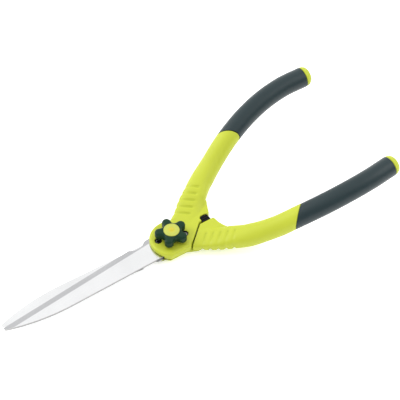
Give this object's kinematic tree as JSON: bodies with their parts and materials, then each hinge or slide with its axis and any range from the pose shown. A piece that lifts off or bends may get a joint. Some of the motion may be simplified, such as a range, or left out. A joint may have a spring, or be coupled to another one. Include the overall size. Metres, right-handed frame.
{
  "type": "hedge shears",
  "caption": "Two-handed garden shears with straight bevelled blades, cranked handles with soft grips, a lobed tension knob and a rubber stop.",
  "frame": {"origin": "on the pivot axis, in the plane of the rear hub's flat underside that the shears rest on", "axes": "+X along the closed blades towards their tips, +Z along the pivot axis towards the tension knob; the front (upper) arm's handle lies at -Y"},
  "size_m": [0.5603, 0.2354, 0.0961],
  "materials": {
    "lime_plastic": "satin moulded, fine grain",
    "grip_rubber": "matte soft-touch",
    "knob_plastic": "satin moulded",
    "blade_steel": "ground and polished",
    "fastener_steel": "zinc plated",
    "black_steel": "black oxide",
    "brass": "turned",
    "black_rubber": "matte"
  },
  "bodies": {
    "rear_arm": {"rear_handle": "lime_plastic", "rear_blade": "blade_steel", "rear_grip": "grip_rubber", "rear_end_cap": "lime_plastic", "rear_screw_blade_side": "black_steel", "rear_screw_handle_side": "black_steel", "pivot_bolt": "fastener_steel", "bolt_washer": "fastener_steel"},
    "front_arm": {"front_handle": "lime_plastic", "front_blade": "blade_steel", "front_grip": "grip_rubber", "front_end_cap": "lime_plastic", "front_screw_blade_side": "black_steel", "front_screw_handle_side": "black_steel", "stop_buffer": "black_rubber", "pivot_bush": "brass"},
    "knob_carrier": {"knob_washer": "fastener_steel"},
    "knob": {"knob_body": "knob_plastic", "knob_insert": "brass", "knob_cap": "lime_plastic"}
  },
  "joints": [
    {"name": "pivot", "type": "hinge", "parent": "rear_arm", "child": "front_arm", "pos_m": [0, 0, 0.0095], "axis": [0, 0, 1], "range_deg": [0, 60]},
    {"name": "knob_lift", "type": "slide", "parent": "rear_arm", "child": "knob_carrier", "axis": [0, 0, 1], "range_m": [0, 0.00125]},
    {"name": "knob_turn", "type": "hinge", "parent": "knob_carrier", "child": "knob", "pos_m": [0, 0, 0.022], "axis": [0, 0, 1], "range_deg": [0, 360]}
  ],
  "couplings": [
    {"joint": "knob_lift", "follows": "knob_turn", "m_per_rad": 0.00019894}
  ]
}
